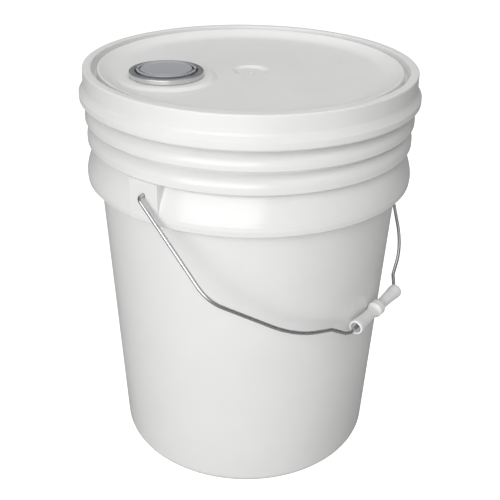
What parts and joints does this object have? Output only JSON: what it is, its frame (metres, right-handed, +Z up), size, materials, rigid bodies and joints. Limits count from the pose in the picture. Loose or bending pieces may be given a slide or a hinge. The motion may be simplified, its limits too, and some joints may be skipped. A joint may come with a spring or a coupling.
{
  "type": "wash bucket",
  "caption": "Round plastic pail with a push-on lid, a pull-up screw-capped spout in the lid and a wire bail with a moulded grip.",
  "frame": {"origin": "centre of the base, on the floor", "axes": "+Z up, +X through the two ears that carry the bail; the bail rests on the -Y side"},
  "size_m": [0.3278, 0.31, 0.3867],
  "materials": {
    "pail_plastic": "satin",
    "lid_plastic": "satin",
    "grip_plastic": "satin",
    "spout_plastic": "satin",
    "cap_plastic": "satin",
    "ring_metal": "satin",
    "wire_steel": "satin",
    "gasket_rubber": "matte",
    "liner_foam": "matte"
  },
  "bodies": {
    "pail": {"pail_body": "pail_plastic"},
    "lid": {"lid": "lid_plastic", "lid_gasket": "gasket_rubber", "spout_crimp_ring": "ring_metal"},
    "spout": {"spout_neck": "spout_plastic", "spout_seal": "spout_plastic", "spout_sleeve": "spout_plastic"},
    "cap_lift": {"cap_liner": "liner_foam"},
    "cap": {"spout_cap": "cap_plastic"},
    "tab_front": {"pull_tab_front": "cap_plastic"},
    "tab_back": {"pull_tab_back": "cap_plastic"},
    "bail": {"bail_wire": "wire_steel"},
    "grip": {"bail_grip": "grip_plastic"}
  },
  "joints": [
    {"name": "bail_swing", "type": "hinge", "parent": "pail", "child": "bail", "pos_m": [0, 0, 0.308], "axis": [-1, 0, 0], "range_deg": [0, 262]},
    {"name": "grip_turn", "type": "hinge", "parent": "bail", "child": "grip", "pos_m": [0, -0.14362, 0.17243], "axis": [1, 0, 0], "continuous": true},
    {"name": "lid_lift", "type": "slide", "parent": "pail", "child": "lid", "axis": [0, 0, 1], "range_m": [0, 0.04]},
    {"name": "spout_pull", "type": "slide", "parent": "lid", "child": "spout", "axis": [0, 0, 1], "range_m": [0, 0.032], "deforming": ["spout_sleeve"]},
    {"name": "cap_rise", "type": "slide", "parent": "spout", "child": "cap_lift", "axis": [0, 0, 1], "range_m": [0, 0.0082]},
    {"name": "cap_turn", "type": "hinge", "parent": "cap_lift", "child": "cap", "pos_m": [-0.06471, 0.04531, 0.376], "axis": [0, 0, 1], "range_deg": [0, 720]},
    {"name": "tab_front_fold", "type": "hinge", "parent": "cap", "child": "tab_front", "pos_m": [-0.06702, 0.04373, 0.3858], "axis": [-0.565, 0.8251, 0], "range_deg": [0, 85]},
    {"name": "tab_back_fold", "type": "hinge", "parent": "cap", "child": "tab_back", "pos_m": [-0.0624, 0.04689, 0.3858], "axis": [0.565, -0.8251, 0], "range_deg": [0, 85]}
  ],
  "couplings": [
    {"joint": "cap_rise", "follows": "cap_turn", "m_per_rad": 0.00063662}
  ]
}
